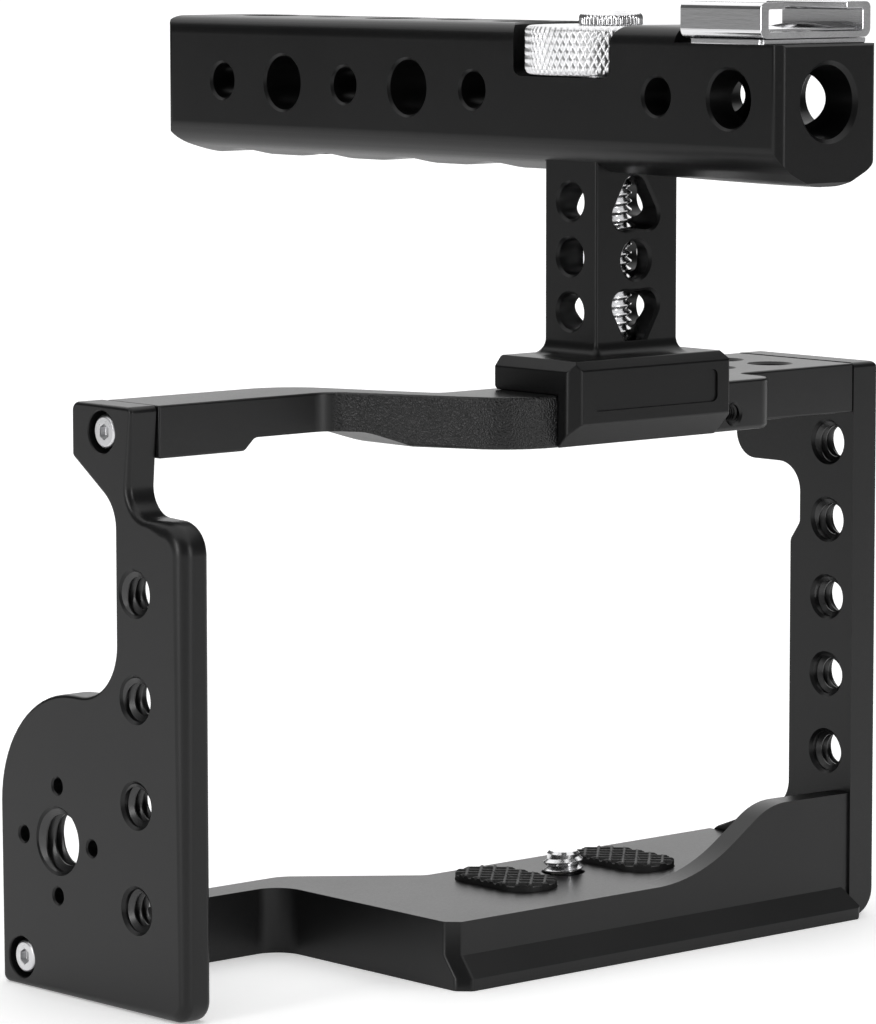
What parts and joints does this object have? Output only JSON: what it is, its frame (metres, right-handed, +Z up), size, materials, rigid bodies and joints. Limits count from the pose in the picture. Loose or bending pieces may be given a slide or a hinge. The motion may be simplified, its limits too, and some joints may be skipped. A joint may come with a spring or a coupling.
{
  "type": "camera cage",
  "caption": "Open camera cage with drilled side plates, cranked top bar, base plate with camera screw, and a clamped top handle with an accessory shoe.",
  "frame": {"origin": "middle of the overall footprint, on the surface that the cage stands on", "axes": "+Z up, -Y towards the front of the handle and its accessory shoe, +X towards the right side plate as seen from the front"},
  "size_m": [0.1342, 0.1384, 0.1459],
  "materials": {
    "anodised": "satin black hard anodised aluminium, finely bead blasted",
    "anodised_bar": "satin black anodised aluminium with a coarse grained patch on the front of the cranked part",
    "screw_steel": "zinc plated steel, satin",
    "bright_steel": "bright nickel plated thread",
    "wheel_nickel": "pearl nickel plate on a diamond knurl",
    "shoe_chrome": "bright nickel plated sheet",
    "pad_rubber": "matt moulded rubber with a diamond rib pattern",
    "nylon": "natural nylon"
  },
  "bodies": {
    "cage": {"left_side_plate": "anodised", "right_side_plate": "anodised", "top_bar": "anodised_bar", "bottom_plate": "anodised", "left_plate_screws": "screw_steel", "right_plate_screws": "screw_steel", "camera_screw_retainer": "screw_steel", "pad_left": "pad_rubber", "pad_right": "pad_rubber"},
    "handle": {"handle_body": "anodised", "handle_stem": "anodised", "stem_screws": "screw_steel", "rod_washer": "screw_steel", "cold_shoe": "shoe_chrome", "shoe_strip": "shoe_chrome", "shoe_spring": "shoe_chrome", "shoe_screws": "screw_steel"},
    "clamp": {"clamp_wheel": "wheel_nickel", "wheel_cap_screw": "wheel_nickel", "clamp_rod": "bright_steel", "rod_retaining_ring": "screw_steel"},
    "screw_float": {"camera_screw_washer": "nylon"},
    "screw": {"camera_screw": "bright_steel"}
  },
  "joints": [
    {"name": "handle_lift", "type": "slide", "parent": "cage", "child": "handle", "axis": [0, 0, 1], "range_m": [0, 0.007]},
    {"name": "clamp_wheel_turn", "type": "hinge", "parent": "handle", "child": "clamp", "pos_m": [0.00625, -0.02415, 0.138], "axis": [0, 0, 1], "range_deg": [0, 2000]},
    {"name": "camera_screw_float", "type": "slide", "parent": "cage", "child": "screw_float", "axis": [0, 0, 1], "range_m": [-0.0036, 0]},
    {"name": "camera_screw_turn", "type": "hinge", "parent": "screw_float", "child": "screw", "pos_m": [0.01835, -0.00115, 0.007], "axis": [0, 0, 1], "continuous": true}
  ],
  "couplings": [
    {"joint": "clamp_wheel_turn", "follows": "handle_lift", "rad_per_m": 4947.4}
  ]
}
